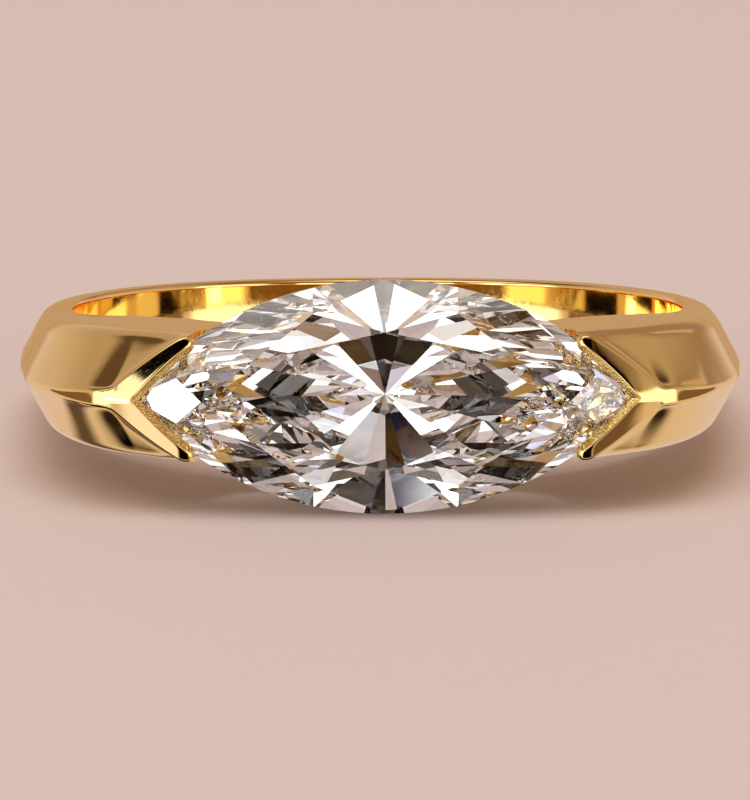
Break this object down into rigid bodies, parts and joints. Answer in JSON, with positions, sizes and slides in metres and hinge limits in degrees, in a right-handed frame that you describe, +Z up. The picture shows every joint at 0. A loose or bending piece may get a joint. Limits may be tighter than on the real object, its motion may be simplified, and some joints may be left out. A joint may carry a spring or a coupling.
{
  "type": "pinky ring",
  "caption": "Polished gold ring whose ridged band forks at each shoulder into a V that holds one tip of a marquise-cut stone set across the finger; lies on its side.",
  "frame": {"origin": "on the surface the ring lies on, under the middle of its overall length and width", "axes": "+X along the stone, +Z up, the stone's table faces -Y, and the finger hole runs 5.6 degrees off +Z"},
  "size_m": [0.0178, 0.0204, 0.0055],
  "materials": {
    "gold": "14 karat yellow gold, mirror polished",
    "diamond": "colourless, clear, polished facets"
  },
  "bodies": {
    "root": {"band": "gold", "stone": "diamond"}
  },
  "joints": []
}
